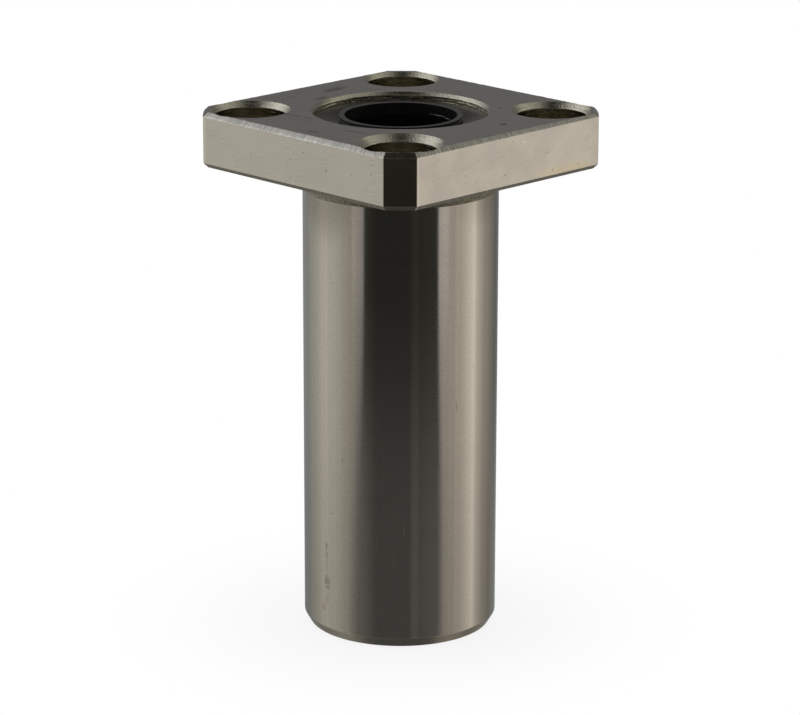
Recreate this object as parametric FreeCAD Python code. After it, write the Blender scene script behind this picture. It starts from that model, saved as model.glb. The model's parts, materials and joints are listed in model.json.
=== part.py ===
import FreeCAD, Part
import math
import os

# Square-flange linear ball bearing, long type, for a 12 mm shaft.
# It stands on the tail end of its barrel with the flange on top.
# Origin: centre of the tail face. +Z runs along the shaft towards the flange.
# All sizes are in millimetres.

# Standard sizes of the bearing
SHAFT_D = 12.0
BARREL_D = 21.0
LENGTH = 57.0
FLANGE_CORNER_D = 42.0
FLANGE_FLATS = 32.0
FLANGE_T = 6.0
BOLT_CIRCLE_D = 32.0
SCREW_HOLE_D = 4.5
SCREW_POCKET_D = 7.5
SCREW_POCKET_DEPTH = 4.1
SCREW_COUNT = 4

# Edge breaks and the grinding relief under the flange
FLANGE_CHAMFER = 0.5
POCKET_CHAMFER = 0.7
TAIL_LEAD_LENGTH = 1.05
TAIL_LEAD_DEPTH = 0.6
RELIEF_LENGTH = 2.28
RELIEF_DEPTH = 0.25
UNDERCUT_D = 22.2
UNDERCUT_DEPTH = 0.2

# Hollow of the sleeve
SEAT_D = 18.5
SEAT_DEPTH = 3.5
SEAT_MOUTH_CHAMFER = 0.35
TAIL_MOUTH_CHAMFER = 0.25
SNAP_GROOVE_DEPTH = 0.2
SNAP_GROOVE_WIDTH = 0.8
SNAP_GROOVE_PLACE = 2.2
RACEWAY_D = 16.02
TURN_RELIEF_D = 17.7
TURN_RELIEF_RAMP = 0.3

# Seals: depths are measured inwards from the end face of the sleeve
SEAL_EDGE_DEPTH = 0.9
SEAL_GUTTER_DEPTH = 1.65
SEAL_GUTTER_WIDTH = 0.3
LIP_D = 13.25
LIP_TOP_DEPTH = 0.5
LIP_LAND = 1.3
LIP_EDGE = 0.06
LIP_NOTCH_PLACE = 0.8
LIP_NOTCH_WIDTH = 0.16
LIP_NOTCH_DEPTH = 0.12
LIP_BACK_D = 13.2

# Balls and their tracks
BALL_D = 2.0
BALLS_PER_TRACK = 20
TRACKS_PER_CAGE = 4
TRACK_WIDTH = 3.2
TRACK_STRAIGHT = 16.9
RETURN_ROW_R = 7.72
RETURN_CHANNEL_D = 2.2

# Ball cages
CAGE_INNER_D = 12.5
CAGE_OUTER_D = 15.8
CAGE_END_PLAY = 0.2
CAGE_EDGE = 0.3
TRACK_GROOVE_D = 2.12
BALL_SLOT_W = 1.5

ORIGIN = FreeCAD.Vector(0, 0, 0)
AXIS = FreeCAD.Vector(0, 0, 1)
FLANGE_BASE = LENGTH - FLANGE_T
BALL_R = BALL_D / 2
TURN_R = TRACK_WIDTH / 2
HALF_STRAIGHT = TRACK_STRAIGHT / 2
LOADED_ROW_R = SHAFT_D / 2 + BALL_R
CAGE_LENGTH = (LENGTH - 2 * SEAT_DEPTH - CAGE_END_PLAY) / 2
CAGE_BASES = {"lower": SEAT_DEPTH, "upper": SEAT_DEPTH + CAGE_LENGTH}


def turned(outline):
    """Solid of revolution about the shaft axis from closed (radius, height) corners."""
    corners = [FreeCAD.Vector(radius, 0, height) for radius, height in outline]
    face = Part.Face(Part.makePolygon(corners + corners[:1]))
    return face.revolve(ORIGIN, AXIS, 360)


def around(shape, count):
    """Copies of a shape spread evenly round the shaft axis."""
    copies = []
    for index in range(count):
        copy = shape.copy()
        copy.rotate(ORIGIN, AXIS, 360.0 * index / count)
        copies.append(copy)
    return copies


def flange_plate():
    """Square plate whose corners are rounded off on the corner circle, with bevelled edges."""
    corner_r = FLANGE_CORNER_D / 2
    disc = turned([
        (0, FLANGE_BASE),
        (corner_r - FLANGE_CHAMFER, FLANGE_BASE),
        (corner_r, FLANGE_BASE + FLANGE_CHAMFER),
        (corner_r, LENGTH - FLANGE_CHAMFER),
        (corner_r - FLANGE_CHAMFER, LENGTH),
        (0, LENGTH),
    ])
    half = FLANGE_FLATS / 2
    low_corner = FreeCAD.Vector(-half, -half, FLANGE_BASE)
    square = Part.makeBox(FLANGE_FLATS, FLANGE_FLATS, FLANGE_T, low_corner)
    rims = [edge for edge in square.Edges if edge.BoundBox.ZLength < FLANGE_CHAMFER]
    return disc.common(square.makeChamfer(FLANGE_CHAMFER, rims))


def barrel():
    """Ground barrel with a lead-in at the tail and a relief neck under the flange."""
    outer_r = BARREL_D / 2
    neck_r = outer_r - RELIEF_DEPTH
    neck_base = FLANGE_BASE - RELIEF_LENGTH
    return turned([
        (0, 0),
        (outer_r - TAIL_LEAD_DEPTH, 0),
        (outer_r, TAIL_LEAD_LENGTH),
        (outer_r, neck_base),
        (neck_r, neck_base + RELIEF_DEPTH),
        (neck_r, LENGTH - FLANGE_CHAMFER),
        (0, LENGTH - FLANGE_CHAMFER),
    ])


def face_undercut():
    """Ring cut into the underside of the flange, so that a square-edged housing seats flat."""
    outer_r = UNDERCUT_D / 2
    neck_r = BARREL_D / 2 - RELIEF_DEPTH
    return turned([
        (neck_r, FLANGE_BASE),
        (outer_r, FLANGE_BASE),
        (outer_r - UNDERCUT_DEPTH, FLANGE_BASE + UNDERCUT_DEPTH),
        (neck_r, FLANGE_BASE + UNDERCUT_DEPTH),
    ])


def screw_pocket():
    """Counterbored screw hole with a bevelled mouth, cut from the top of the flange."""
    hole_r = SCREW_HOLE_D / 2
    pocket_r = SCREW_POCKET_D / 2
    pocket_floor = LENGTH - SCREW_POCKET_DEPTH
    cutter = turned([
        (0, FLANGE_BASE),
        (hole_r, FLANGE_BASE),
        (hole_r, pocket_floor),
        (pocket_r, pocket_floor),
        (pocket_r, LENGTH - POCKET_CHAMFER),
        (pocket_r + POCKET_CHAMFER, LENGTH),
        (0, LENGTH),
    ])
    cutter.translate(FreeCAD.Vector(BOLT_CIRCLE_D / 2, 0, 0))
    cutter.rotate(ORIGIN, AXIS, 180.0 / SCREW_COUNT)
    return cutter


def seat_outline(end, inward, mouth_chamfer):
    """Outline of one seal seat from its mouth to its floor, with the snap groove for the bead.

    end is the height of the end face and inward is +1 or -1 along the axis.
    """
    seat_r = SEAT_D / 2
    groove_r = seat_r + SNAP_GROOVE_DEPTH
    half_groove = SNAP_GROOVE_WIDTH / 2
    depths = [
        (seat_r + mouth_chamfer, 0),
        (seat_r, mouth_chamfer),
        (seat_r, SNAP_GROOVE_PLACE - half_groove),
        (groove_r, SNAP_GROOVE_PLACE - half_groove + SNAP_GROOVE_DEPTH),
        (groove_r, SNAP_GROOVE_PLACE + half_groove - SNAP_GROOVE_DEPTH),
        (seat_r, SNAP_GROOVE_PLACE + half_groove),
        (seat_r, SEAT_DEPTH),
    ]
    return [(radius, end + inward * depth) for radius, depth in depths]


def track_height(base):
    """Height of the middle of the ball tracks in the cage that starts at a base."""
    return base + CAGE_LENGTH / 2


def sleeve_hollow():
    """Everything turned out of the sleeve: two seal seats, and raceways between ball reliefs."""
    relief_r = TURN_RELIEF_D / 2
    raceway_r = RACEWAY_D / 2
    outline = [(0, 0)] + seat_outline(0, 1, TAIL_MOUTH_CHAMFER)
    outline.append((relief_r, SEAT_DEPTH))
    for base in CAGE_BASES.values():
        start = track_height(base) - HALF_STRAIGHT
        stop = track_height(base) + HALF_STRAIGHT
        outline.append((relief_r, start - TURN_RELIEF_RAMP))
        outline.append((raceway_r, start))
        outline.append((raceway_r, stop))
        outline.append((relief_r, stop + TURN_RELIEF_RAMP))
    outline.append((relief_r, LENGTH - SEAT_DEPTH))
    outline += reversed(seat_outline(LENGTH, -1, SEAT_MOUTH_CHAMFER))
    outline.append((0, LENGTH))
    return turned(outline)


def row_angles():
    """Angles of the loaded row and of the return row of the first track, in radians."""
    chord_term = LOADED_ROW_R ** 2 + RETURN_ROW_R ** 2 - TRACK_WIDTH ** 2
    spread = math.acos(chord_term / (2 * LOADED_ROW_R * RETURN_ROW_R))
    return -spread / 2, spread / 2


def row_point(radius, angle):
    """Point of a ball row in the plane across the shaft."""
    return FreeCAD.Vector(radius * math.cos(angle), radius * math.sin(angle), 0)


def track_placement(height):
    """Frame of the first track: X from the loaded row to the return row, -Y outwards, Z up."""
    loaded_angle, return_angle = row_angles()
    loaded = row_point(LOADED_ROW_R, loaded_angle)
    returning = row_point(RETURN_ROW_R, return_angle)
    middle = (loaded + returning) * 0.5
    chord = returning - loaded
    turn = FreeCAD.Rotation(AXIS, math.degrees(math.atan2(chord.y, chord.x)))
    return FreeCAD.Placement(middle + AXIS * height, turn)


def return_channels():
    """Round channels along the sleeve, in which the unloaded balls run back."""
    _, return_angle = row_angles()
    start = row_point(RETURN_ROW_R, return_angle) + AXIS * SEAT_DEPTH
    run = LENGTH - 2 * SEAT_DEPTH
    channel = Part.makeCylinder(RETURN_CHANNEL_D / 2, run, start, AXIS)
    return around(channel, TRACKS_PER_CAGE)


def flanged_sleeve():
    """Steel barrel and flange in one piece."""
    blank = flange_plate().fuse(barrel())
    cutters = [sleeve_hollow(), face_undercut()]
    cutters += around(screw_pocket(), SCREW_COUNT)
    cutters += return_channels()
    for cutter in cutters:
        blank = blank.cut(cutter)
    return blank.removeSplitter()


def end_seal():
    """Rubber seal at the tail end: snap bead, dished face, and a notched lip on the shaft."""
    seat_r = SEAT_D / 2
    shaft_r = SHAFT_D / 2
    lip_r = LIP_D / 2
    bead = seat_outline(0, 1, 0)[2:]
    face = [
        (LIP_BACK_D / 2, SEAT_DEPTH),
        (shaft_r, LIP_TOP_DEPTH + LIP_LAND),
        (shaft_r, LIP_TOP_DEPTH + LIP_EDGE),
        (shaft_r + LIP_EDGE, LIP_TOP_DEPTH),
        (lip_r - LIP_EDGE, LIP_TOP_DEPTH),
        (lip_r, LIP_TOP_DEPTH + LIP_EDGE),
        (lip_r, LIP_NOTCH_PLACE - LIP_NOTCH_WIDTH / 2),
        (lip_r - LIP_NOTCH_DEPTH, LIP_NOTCH_PLACE),
        (lip_r, LIP_NOTCH_PLACE + LIP_NOTCH_WIDTH / 2),
        (lip_r, SEAL_GUTTER_DEPTH),
        (lip_r + SEAL_GUTTER_WIDTH, SEAL_GUTTER_DEPTH),
        (seat_r, SEAL_EDGE_DEPTH),
    ]
    return turned(face + bead)


def turned_over(shape):
    """Copy of a tail-end piece, turned over to the flange end."""
    copy = shape.copy()
    copy.rotate(FreeCAD.Vector(0, 0, LENGTH / 2), FreeCAD.Vector(1, 0, 0), 180)
    return copy


def track_prism(radius, depth):
    """Prism over a racetrack of a given end radius, standing outwards from the track's plane."""
    low = FreeCAD.Vector(0, 0, -HALF_STRAIGHT)
    high = FreeCAD.Vector(0, 0, HALF_STRAIGHT)
    side = FreeCAD.Vector(radius, 0, 0)
    rise = Part.makeLine(low + side, high + side)
    top = Part.Arc(high + side, high + AXIS * radius, high - side).toShape()
    fall = Part.makeLine(high - side, low - side)
    bottom = Part.Arc(low - side, low - AXIS * radius, low + side).toShape()
    face = Part.Face(Part.Wire([rise, top, fall, bottom]))
    return face.extrude(FreeCAD.Vector(0, -depth, 0))


def track_groove():
    """Round groove along the whole track, open to the outside of the cage."""
    radius = TRACK_GROOVE_D / 2
    up = FreeCAD.Vector(0, 0, TRACK_STRAIGHT)
    across = FreeCAD.Vector(0, 1, 0)
    foot = FreeCAD.Vector(TURN_R, 0, -HALF_STRAIGHT)
    section = Part.Face(Part.Wire(Part.makeCircle(radius, foot, AXIS)))
    rise = section.extrude(up)
    fall = rise.translated(FreeCAD.Vector(-TRACK_WIDTH, 0, 0))
    bottom = section.revolve(FreeCAD.Vector(0, 0, -HALF_STRAIGHT), across, 180)
    top = section.translated(up).revolve(FreeCAD.Vector(0, 0, HALF_STRAIGHT), across, -180)
    mouth = track_prism(TURN_R + radius, BALL_D)
    mouth = mouth.cut(track_prism(TURN_R - radius, BALL_D))
    return rise.multiFuse([fall, bottom, top, mouth])


def ball_slot():
    """Slot through which the loaded balls reach the shaft, along the loaded row."""
    half = BALL_SLOT_W / 2
    reach = FreeCAD.Vector(-TURN_R, 0, -HALF_STRAIGHT)
    box = Part.makeBox(BALL_SLOT_W, BALL_D, TRACK_STRAIGHT, reach - FreeCAD.Vector(half, 0, 0))
    across = FreeCAD.Vector(0, 1, 0)
    low_end = Part.makeCylinder(half, BALL_D, reach, across)
    high_end = low_end.translated(FreeCAD.Vector(0, 0, TRACK_STRAIGHT))
    return box.multiFuse([low_end, high_end])


def cage(base):
    """Moulded ball cage: a tube with four closed track grooves and four slots to the shaft."""
    inner_r = CAGE_INNER_D / 2
    outer_r = CAGE_OUTER_D / 2
    top = base + CAGE_LENGTH
    tube = turned([
        (inner_r, base),
        (outer_r - CAGE_EDGE, base),
        (outer_r, base + CAGE_EDGE),
        (outer_r, top - CAGE_EDGE),
        (outer_r - CAGE_EDGE, top),
        (inner_r, top),
    ])
    cutter = track_groove().fuse(ball_slot())
    cutter.Placement = track_placement(track_height(base))
    for copy in around(cutter, TRACKS_PER_CAGE):
        tube = tube.cut(copy)
    return tube


def track_point(distance):
    """Point at a distance along the track, in the track's own frame, from the foot of the rise."""
    turn_length = math.pi * TURN_R
    lap = TRACK_STRAIGHT + turn_length
    side = 1 if distance < lap else -1
    along = distance % lap
    if along < TRACK_STRAIGHT:
        return FreeCAD.Vector(side * TURN_R, 0, side * (along - HALF_STRAIGHT))
    angle = (along - TRACK_STRAIGHT) / TURN_R
    across = TURN_R * math.cos(angle)
    height = HALF_STRAIGHT + TURN_R * math.sin(angle)
    return FreeCAD.Vector(side * across, 0, side * height)


def ball_circuit(base):
    """The balls of the first track of a cage, evenly spaced and clear of one another."""
    circuit = 2 * (TRACK_STRAIGHT + math.pi * TURN_R)
    balls = []
    for index in range(BALLS_PER_TRACK):
        centre = track_point(circuit * index / BALLS_PER_TRACK)
        balls.append(Part.makeSphere(BALL_R, centre))
    group = Part.makeCompound(balls)
    group.Placement = track_placement(track_height(base))
    return group


def pieces():
    """Every piece of the bearing by its name."""
    tail_seal = end_seal()
    named = {
        "flanged_sleeve": flanged_sleeve(),
        "end_seal_tail": tail_seal,
        "end_seal_flange": turned_over(tail_seal),
    }
    for level, base in CAGE_BASES.items():
        named["retainer_" + level] = cage(base)
        circuits = around(ball_circuit(base), TRACKS_PER_CAGE)
        for number, balls in enumerate(circuits, start=1):
            named["ball_circuit_{}_{}".format(level, number)] = balls
    return named


def main():
    """Write one file for each piece."""
    os.makedirs("parts", exist_ok=True)
    for name, shape in pieces().items():
        shape.exportStep(os.path.join("parts", name + ".step"))


main()
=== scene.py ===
"""Looks of a long square-flange linear ball bearing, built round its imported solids.

Sizes are in millimetres until a mesh is made, because that is how such a bearing is drawn.
"""
import itertools
import json
import logging
import math
from collections.abc import Iterator, Sequence
from contextlib import contextmanager
from dataclasses import dataclass, field
from enum import IntEnum
from typing import Union

import bmesh
import bpy
import numpy as np
from bpy.types import ID, Material, Mesh, Node, NodeTree, Object
from bpy.types import NodeSocket as Socket
from mathutils import Matrix, Quaternion, Vector


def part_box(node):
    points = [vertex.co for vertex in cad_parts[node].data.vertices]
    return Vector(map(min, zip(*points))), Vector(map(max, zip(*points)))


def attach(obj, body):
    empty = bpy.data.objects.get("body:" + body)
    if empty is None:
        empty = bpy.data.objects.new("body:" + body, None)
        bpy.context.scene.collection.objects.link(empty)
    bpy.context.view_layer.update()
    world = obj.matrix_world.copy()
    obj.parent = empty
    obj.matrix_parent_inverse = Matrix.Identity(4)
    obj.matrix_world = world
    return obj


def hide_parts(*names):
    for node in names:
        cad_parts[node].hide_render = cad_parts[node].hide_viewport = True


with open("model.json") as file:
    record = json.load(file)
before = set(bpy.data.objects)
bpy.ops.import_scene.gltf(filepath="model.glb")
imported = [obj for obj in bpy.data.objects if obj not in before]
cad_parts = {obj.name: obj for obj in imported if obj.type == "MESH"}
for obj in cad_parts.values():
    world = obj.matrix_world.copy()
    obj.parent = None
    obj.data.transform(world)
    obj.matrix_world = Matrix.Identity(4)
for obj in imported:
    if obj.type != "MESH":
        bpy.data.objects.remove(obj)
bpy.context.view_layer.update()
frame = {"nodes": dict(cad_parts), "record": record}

MM = 0.001
BODY = "root"
SEED = 7
RUN_MAP = "surface_run"
# Per point brightening: wear at the top bevel's foot, a painted highlight on the upright edges.
WEAR_AND_HIGHLIGHT_MARK = "edge_wear_and_highlight"

log = logging.getLogger("bearing")

Pair = tuple[float, float]
Triple = tuple[float, float, float]
Quad = tuple[float, float, float, float]
Value = Union[Socket, Node, float, Sequence[float]]


def mount(name: str) -> dict:
    """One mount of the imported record, found by its name."""
    return next(item for item in frame["record"]["mounts"] if item["name"] == name)


class Area(IntEnum):
    """Areas of the steel sleeve that were finished in different ways."""

    BARREL = 0
    SIDE = 1
    FACE = 2
    EDGE = 3
    SEAT = 4
    NECK = 5
    BORE = 6
    POCKET = 7
    TURNED = 8
    MOUTH = 9
    COUNTERSINK = 10


class NodeBench:
    """Adds nodes to one tree and wires them."""

    def __init__(self, tree: NodeTree) -> None:
        """Keeps the tree to work on."""
        self.tree = tree

    def put(self, target: Socket, value: Value) -> None:
        """Wires a socket or a node's first output to an input, or sets it to a plain value."""
        if isinstance(value, Node):
            value = value.outputs[0]
        if isinstance(value, Socket):
            self.tree.links.new(value, target)
        else:
            target.default_value = value

    def feed(self, node: Node, inputs: dict) -> None:
        """Wires or sets some of a node's inputs, by name or number."""
        for name, value in inputs.items():
            self.put(node.inputs[name], value)

    def node(self, kind: str, inputs: dict | None = None, **settings) -> Node:
        """Adds one node.

        Args:
            kind: The node's type.
            inputs: Values or sockets for its inputs, by name or number.
            **settings: The node's own properties.

        Returns:
            The new node.
        """
        made = self.tree.nodes.new(kind)
        for name, setting in settings.items():
            setattr(made, name, setting)
        self.feed(made, inputs or {})
        return made

    def math(self, operation: str, *values: Value) -> Socket:
        """The result of a Math node on one to three values."""
        made = self.node("ShaderNodeMath", dict(enumerate(values)), operation=operation)
        return made.outputs[0]

    def times(self, first: Value, second: Value) -> Socket:
        """The product of two values."""
        return self.math("MULTIPLY", first, second)

    def scaled(self, vector: Socket, factor: Value) -> Socket:
        """A colour times one factor."""
        made = self.node("ShaderNodeVectorMath", {0: vector, "Scale": factor}, operation="SCALE")
        return made.outputs["Vector"]

    def blend(self, share: Value, first: Value, second: Value) -> Socket:
        """A colour mixed from two others.

        Args:
            share: How much of the second colour there is.
            first: The first colour.
            second: The second colour.

        Returns:
            The mixed colour.
        """
        made = self.node("ShaderNodeMix", data_type="RGBA")
        colours = [socket for socket in made.inputs if socket.type == "RGBA"]
        self.put(made.inputs[0], share)
        for target, value in zip(colours, (first, second)):
            self.put(target, value if isinstance(value, Socket) else (*value, 1.0))
        return next(socket for socket in made.outputs if socket.type == "RGBA")

    def span(self, value: Value, low: float, high: float, to_low: float = 0.0,
             to_high: float = 1.0) -> Socket:
        """A value carried smoothly from one range over to another and held at its ends."""
        made = self.node("ShaderNodeMapRange", {"Value": value, "From Min": low, "From Max": high,
                                                "To Min": to_low, "To Max": to_high},
                         interpolation_type="SMOOTHSTEP")
        return made.outputs["Result"]

    def ramp(self, value: Value, stops: Sequence[tuple[float, Triple]]) -> Socket:
        """A colour read off a row of stops.

        Args:
            value: Where to read, from zero to one.
            stops: Each stop's place and colour.

        Returns:
            The colour.
        """
        made = self.node("ShaderNodeValToRGB", {"Fac": value})
        elements = made.color_ramp.elements
        while len(elements) < len(stops):
            elements.new(0.5)
        for element, (place, colour) in zip(elements, stops):
            element.position = place
            element.color = (*colour, 1.0)
        return made.outputs["Color"]

    def noise(self, vector: Socket, per_mm: float, detail: float = 2.0) -> Socket:
        """Cloudy noise about one half, on a position in millimetres."""
        inputs = {"Vector": vector, "Scale": per_mm, "Detail": detail}
        return self.node("ShaderNodeTexNoise", inputs).outputs[0]

    def stretched(self, vector: Socket, scale: Triple) -> Socket:
        """A position stretched along its axes, so that noise on it turns to streaks."""
        return self.node("ShaderNodeMapping", {"Vector": vector, "Scale": scale}).outputs[0]

    def turned(self, vector: Socket, angle: float) -> Socket:
        """A position turned about its third axis."""
        inputs = {"Vector": vector, "Rotation": (0.0, 0.0, angle)}
        return self.node("ShaderNodeMapping", inputs).outputs[0]

    def position(self) -> Socket:
        """The position on the piece, in millimetres."""
        place = self.node("ShaderNodeTexCoord").outputs["Object"]
        return self.stretched(place, (1 / MM, 1 / MM, 1 / MM))

    def surface_run(self) -> Socket:
        """The position along the skin, in millimetres: round the flange, then across its edge."""
        return self.node("ShaderNodeUVMap", uv_map=RUN_MAP).outputs[0]

    def edge_wear_and_highlight(self) -> Socket:
        """How much an edge is brightened: rubbed at the top bevel's foot, a painted highlight on
        the upright edges.
        """
        return self.node("ShaderNodeAttribute", attribute_name=WEAR_AND_HIGHLIGHT_MARK).outputs["Fac"]

    def length(self, vector: Socket) -> Socket:
        """The length of a vector."""
        return self.node("ShaderNodeVectorMath", {0: vector}, operation="LENGTH").outputs["Value"]

    def bump(self, height: Socket, depth_mm: float, below: Socket | None = None) -> Socket:
        """A surface normal roughened by a height.

        Args:
            height: The height, from zero to one.
            depth_mm: The depth that one stands for.
            below: A normal to roughen further.

        Returns:
            The new normal.
        """
        made = self.node("ShaderNodeBump", {"Height": height, "Distance": depth_mm * MM})
        if below is not None:
            self.put(made.inputs["Normal"], below)
        return made.outputs[0]

    def surface(self, shader: Node) -> None:
        """Makes a shader the material's surface."""
        self.put(self.tree.nodes["Material Output"].inputs["Surface"], shader)


def painted(name: str) -> tuple[Material, NodeBench]:
    """A new material and the bench for its nodes."""
    made = bpy.data.materials.new(name)
    made.use_nodes = True
    return made, NodeBench(made.node_tree)


def placed(name: str, data: ID) -> Object:
    """A new object in the scene."""
    made = bpy.data.objects.new(name, data)
    bpy.context.scene.collection.objects.link(made)
    return made


@contextmanager
def edited(mesh: Mesh) -> Iterator[bmesh.types.BMesh]:
    """Opens a mesh for work on its faces and writes it back."""
    shell = bmesh.new()
    shell.from_mesh(mesh)
    yield shell
    shell.to_mesh(mesh)
    shell.free()


@dataclass(frozen=True)
class Mark:
    """One smudge, scratch or pit, or a patch of painted shade, glint or reflection, at its own
    place on the steel or the rubber.
    """

    centre: Triple
    reach: Triple
    strength: float
    turn: float = 0.0
    tint: Triple = (0.14, 0.13, 0.115)
    torn: bool = True

    def over(self, bench: NodeBench, place: Socket, colour: Socket) -> Socket:
        """Lays the mark over a colour.

        Args:
            bench: The material's nodes.
            place: The position in millimetres.
            colour: The colour below.

        Returns:
            The marked colour.
        """
        inputs = {"Vector": place, "Location": self.centre, "Scale": self.reach,
                  "Rotation": (0.0, 0.0, self.turn)}
        local = bench.node("ShaderNodeMapping", inputs, vector_type="TEXTURE").outputs[0]
        share = bench.span(bench.length(local), 1.0, 0.25, 0.0, self.strength)
        if self.torn:
            ragged = bench.span(bench.noise(place, 1.3, 3.0), 0.34, 0.54, 0.4, 1.0)
            share = bench.times(share, ragged)
        return bench.blend(share, colour, self.tint)


@dataclass(frozen=True)
class Nick(Mark):
    """A mark with clean edges, such as a scratch, a pit, a rubbed spot, a painted reflection
    streak or a patch of painted shade.
    """

    torn: bool = False


@dataclass(frozen=True)
class Specks:
    """Small spots spread at random.

    There are per_mm places for a spot to a millimetre, and a share of the places have one. The
    size is a spot's radius as a share of the distance between places.
    """

    tint: Triple
    per_mm: float
    share: float
    size: float
    strength: float

    def over(self, bench: NodeBench, flat: Socket, colour: Value) -> Socket:
        """Spreads the specks over a colour.

        Args:
            bench: The material's nodes.
            flat: A flat position in millimetres.
            colour: The colour below.

        Returns:
            The specked colour.
        """
        cell = bench.node("ShaderNodeTexVoronoi", {"Vector": flat, "Scale": self.per_mm},
                          voronoi_dimensions="2D").outputs
        draw = bench.node("ShaderNodeSeparateColor", {"Color": cell["Color"]})
        chosen = bench.math("LESS_THAN", draw, self.share)
        spots = bench.times(chosen, bench.span(cell["Distance"], self.size, self.size / 2))
        return bench.blend(bench.times(spots, self.strength), colour, self.tint)


@dataclass(frozen=True)
class Layer:
    """A tint that comes in as a pattern goes from one value to another."""

    tint: Triple
    start: float
    full: float
    strength: float

    def over(self, bench: NodeBench, pattern: Socket, colour: Socket,
             cover: Socket | None = None) -> Socket:
        """Lays the tint over a colour.

        Args:
            bench: The material's nodes.
            pattern: The pattern.
            colour: The colour below.
            cover: How much of the layer there is, if it comes in patches.

        Returns:
            The tinted colour.
        """
        share = bench.span(pattern, self.start, self.full, 0.0, self.strength)
        if cover is not None:
            share = bench.times(cover, share)
        return bench.blend(share, colour, self.tint)


@dataclass(frozen=True)
class Finish:
    """A surface finish that one material shows."""

    name: str
    marks: tuple[Mark, ...] = ()

    def shade(self, bench: NodeBench, shader: Node) -> None:
        """Wires the finish's own pattern into the shader."""
        raise NotImplementedError

    def marked(self, bench: NodeBench, place: Socket, colour: Socket) -> Socket:
        """A colour with the finish's marks laid over it."""
        for mark in self.marks:
            colour = mark.over(bench, place, colour)
        return colour

    def material(self) -> Material:
        """The finish as a material, made once."""
        known = bpy.data.materials.get(self.name)
        if known:
            return known
        made, bench = painted(self.name)
        self.shade(bench, made.node_tree.nodes["Principled BSDF"])
        return made


@dataclass(frozen=True)
class Steel(Finish):
    """Bare bearing steel: what all its finishes have in common."""

    tint: Triple = (0.58, 0.57, 0.55)
    roughness: float = 0.2
    roughness_spread: float = 0.03
    film: float = 0.02

    def oiled(self, bench: NodeBench, shader: Node) -> tuple[Socket, Socket]:
        """Makes the shader metal, clouded by a thin film of oil and marked.

        Args:
            bench: The material's nodes.
            shader: The material's shader.

        Returns:
            The position in millimetres, and the clouded colour for more layers on top.
        """
        place = bench.position()
        shader.inputs["Metallic"].default_value = 1.0
        clouds = bench.noise(place, 0.25, 4.0)
        low, high = self.roughness - self.roughness_spread, self.roughness + self.roughness_spread
        bench.put(shader.inputs["Roughness"], bench.span(clouds, 0.35, 0.65, low, high))
        dull = tuple(part * (1.0 - 2.0 * self.film) for part in self.tint)
        colour = bench.blend(bench.span(clouds, 0.4, 0.7), self.tint, dull)
        return place, self.marked(bench, place, colour)


@dataclass(frozen=True)
class GroundBarrel(Steel):
    """Cylindrical grinding: hair lines round the barrel and a few specks."""

    line_scale: Triple = (1.3, 1.3, 6.0)
    line_depth: float = 0.0004
    line_dark: Layer = Layer((0.40, 0.39, 0.36), 0.5, 0.3, 0.08)
    grain_per_mm: float = 4.5
    grain_depth: float = 0.0016
    grain_light: Layer = Layer((0.74, 0.72, 0.69), 0.5, 0.68, 0.2)
    grain_dark: Layer = Layer((0.43, 0.42, 0.39), 0.5, 0.32, 0.2)
    run_squeeze: Triple = (0.5, 1.0, 1.0)
    pits: Specks = Specks((0.16, 0.15, 0.12), 0.45, 0.06, 0.04, 0.6)

    def shade(self, bench: NodeBench, shader: Node) -> None:
        """Wires the hair lines, grain and specks."""
        place, colour = self.oiled(bench, shader)
        lines = bench.noise(bench.stretched(place, self.line_scale), 1.0, 3.0)
        grain = bench.noise(place, self.grain_per_mm, 3.0)
        normal = bench.bump(grain, self.grain_depth, bench.bump(lines, self.line_depth))
        for layer, pattern in ((self.grain_light, grain), (self.grain_dark, grain),
                               (self.line_dark, lines)):
            colour = layer.over(bench, pattern, colour)
        run = bench.stretched(bench.surface_run(), self.run_squeeze)
        bench.feed(shader, {"Base Color": self.pits.over(bench, run, colour), "Normal": normal})


@dataclass(frozen=True)
class MilledSide(Steel):
    """Flange sides: fine slanted strokes of the cutter, dark pin specks, rubbed top edges and a
    painted highlight on the upright edges.
    """

    stroke_slope: float = 0.23
    stroke_scale: Triple = (0.55, 6.0, 1.0)
    stroke_depth: float = 0.0008
    stroke_dark: Layer = Layer((0.38, 0.37, 0.33), 0.52, 0.68, 0.22)
    stroke_bright: Layer = Layer((0.80, 0.79, 0.76), 0.46, 0.3, 0.16)
    patches_per_mm: float = 0.45
    patches: Quad = (0.4, 0.62, 0.25, 1.0)
    pits: Specks = Specks((0.12, 0.11, 0.09), 0.5, 0.08, 0.05, 0.6)
    # Tint and share of the edge brightening: rubbed wear at the top, a painted highlight on the
    # upright edges.
    rubbed: Triple = (0.80, 0.79, 0.76)
    rub_and_highlight: float = 0.8

    def shade(self, bench: NodeBench, shader: Node) -> None:
        """Wires the strokes along the side, the specks, the rubbed edges and the painted highlight
        on the upright edges.
        """
        place, colour = self.oiled(bench, shader)
        run = bench.turned(bench.surface_run(), -self.stroke_slope)
        strokes = bench.noise(bench.stretched(run, self.stroke_scale), 1.0, 3.0)
        patches = bench.span(bench.noise(place, self.patches_per_mm, 2.0), *self.patches)
        for layer in (self.stroke_dark, self.stroke_bright):
            colour = layer.over(bench, strokes, colour, patches)
        colour = self.pits.over(bench, bench.surface_run(), colour)
        colour = bench.blend(bench.times(bench.edge_wear_and_highlight(), self.rub_and_highlight), colour, self.rubbed)
        normal = bench.bump(strokes, self.stroke_depth)
        bench.feed(shader, {"Base Color": colour, "Normal": normal})


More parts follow.
